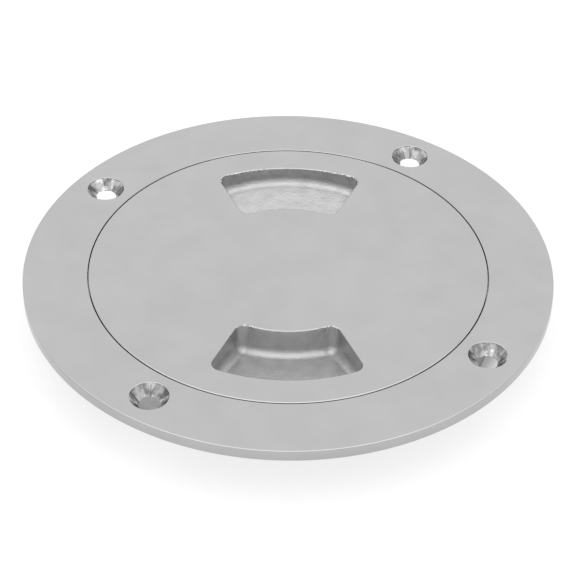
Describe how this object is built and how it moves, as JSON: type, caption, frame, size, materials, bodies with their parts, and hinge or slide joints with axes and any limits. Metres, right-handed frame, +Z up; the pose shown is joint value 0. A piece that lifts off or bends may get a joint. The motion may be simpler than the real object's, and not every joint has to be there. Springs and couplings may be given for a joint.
{
  "type": "deck inspection plate",
  "caption": "Round flush deck plate in polished cast steel: a screw-in lid with finger pockets, sealed by an O-ring, in a flanged ring with a threaded collar and countersunk screw holes.",
  "frame": {"origin": "centre of the flange's underside, in the plane where the ring lies on the deck", "axes": "+Z up out of the deck, +Y through a finger pocket when the lid is shut, +X to its right"},
  "size_m": [0.148, 0.148, 0.0168],
  "materials": {
    "ring_steel": "cast stainless steel, mirror polished on the flange's top and rim, as cast under it",
    "lid_steel": "cast stainless steel, mirror polished on top, blasted in the finger pockets and underneath",
    "seal_rubber": "black nitrile rubber"
  },
  "bodies": {
    "ring": {"deck_ring": "ring_steel"},
    "seal": {"lid_seal": "seal_rubber"},
    "lid": {"lid": "lid_steel"}
  },
  "joints": [
    {"name": "lid_lift", "type": "slide", "parent": "ring", "child": "seal", "axis": [0, 0, 1], "range_m": [0, 0.0096]},
    {"name": "lid_turn", "type": "hinge", "parent": "seal", "child": "lid", "pos_m": [0, 0, 0], "axis": [0, 0, 1], "range_deg": [0, 864]}
  ],
  "couplings": [
    {"joint": "lid_lift", "follows": "lid_turn", "m_per_rad": 0.00063662}
  ]
}
